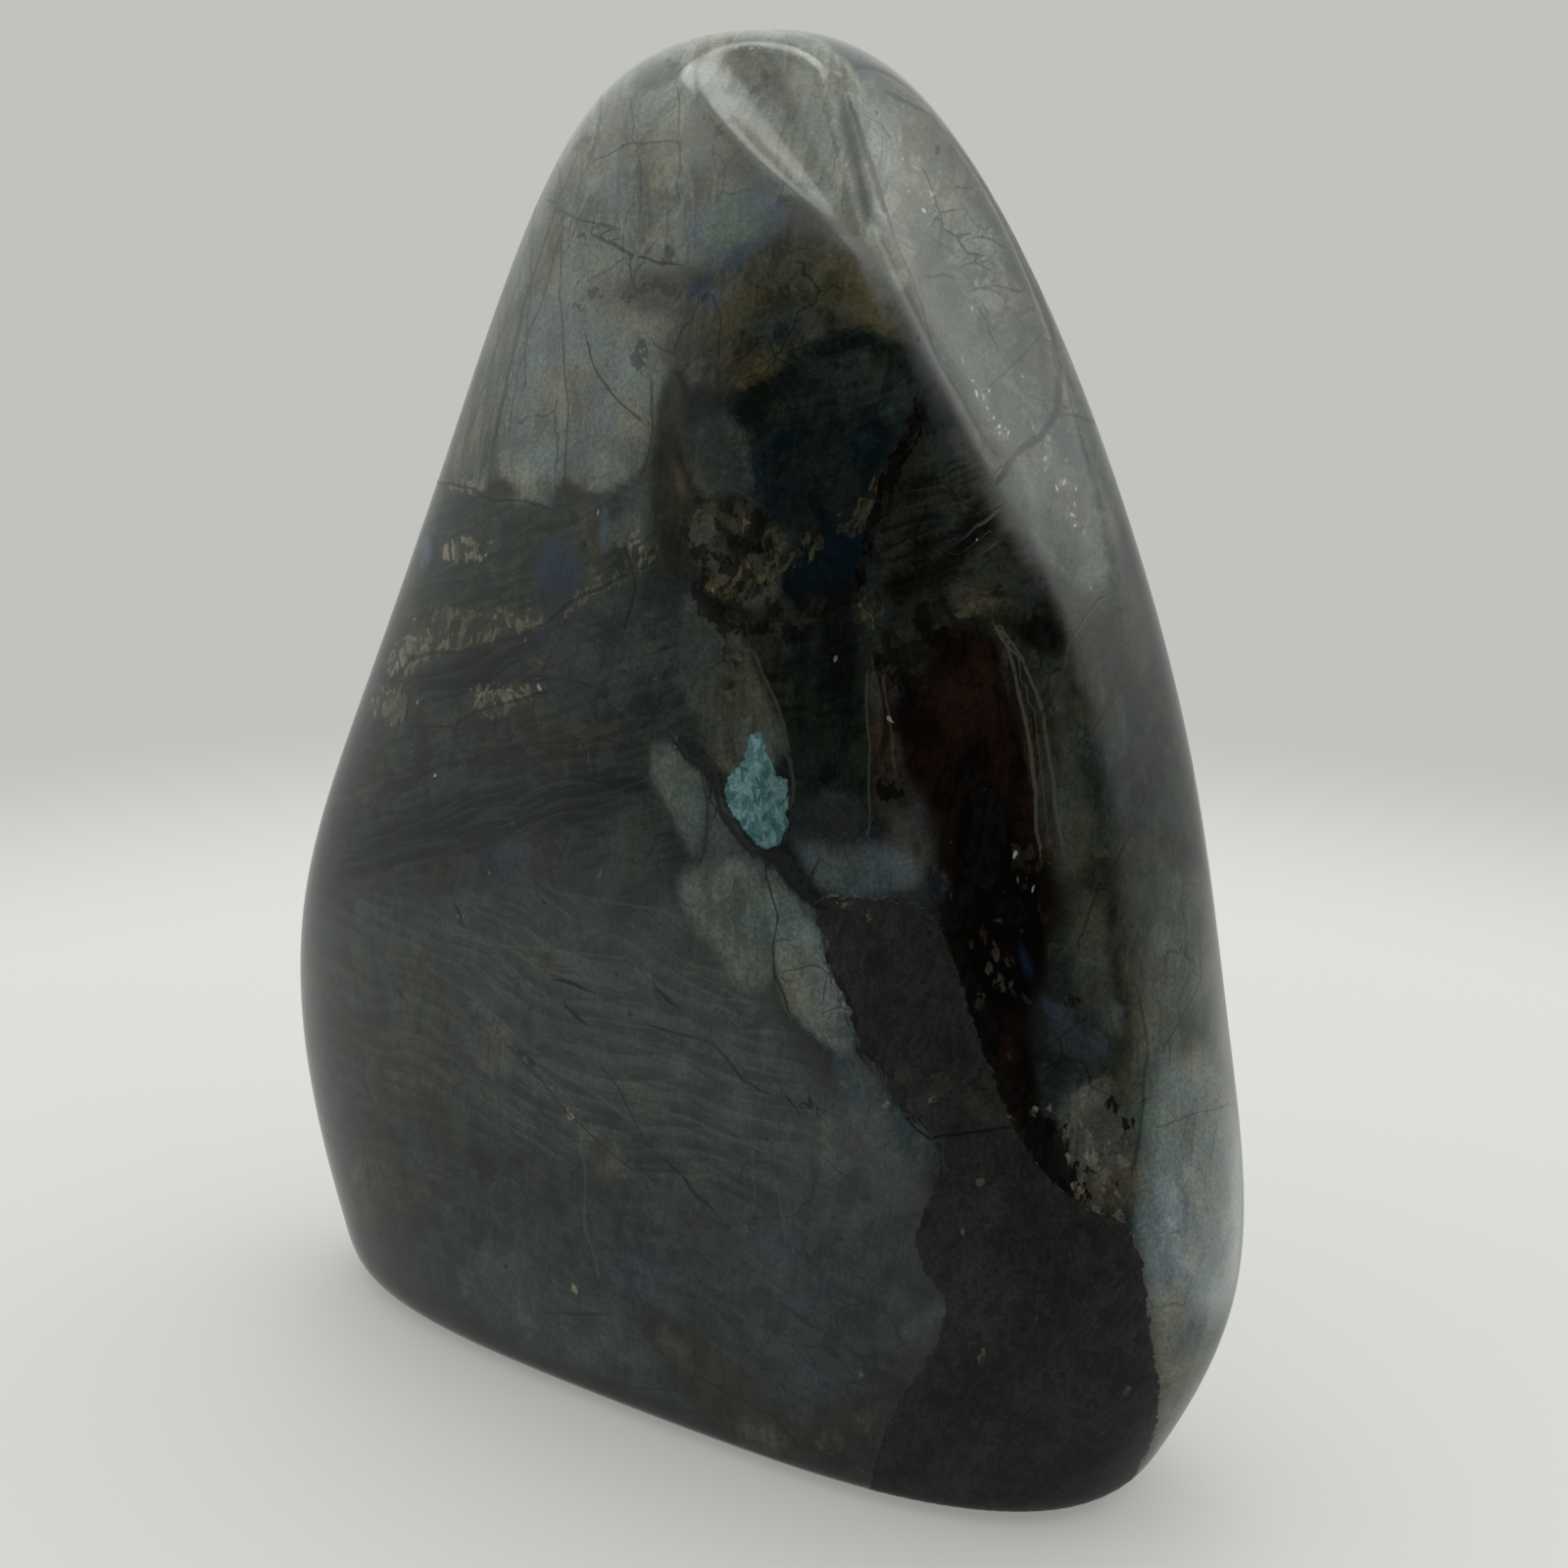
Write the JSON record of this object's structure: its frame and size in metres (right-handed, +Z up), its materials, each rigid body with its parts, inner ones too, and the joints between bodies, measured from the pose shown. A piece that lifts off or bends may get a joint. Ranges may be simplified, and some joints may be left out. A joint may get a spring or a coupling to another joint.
{
  "type": "polished labradorite freeform tower",
  "caption": "Freeform polished labradorite standing on a flat ground foot, with a broad front face, a domed crown and shallow facets ground into one shoulder.",
  "frame": {"origin": "middle of the box at the flat foot, on the surface that the stone stands on", "axes": "+Z up, X along the width, Y through the thickness, with the broad front face toward -Y and the faceted shoulder toward +X"},
  "size_m": [0.148, 0.0646, 0.1799],
  "materials": {
    "polished_labradorite": "polished dark grey-green feldspar with pale patches and blue-green flash"
  },
  "bodies": {
    "root": {"stone": "polished_labradorite"}
  },
  "joints": []
}
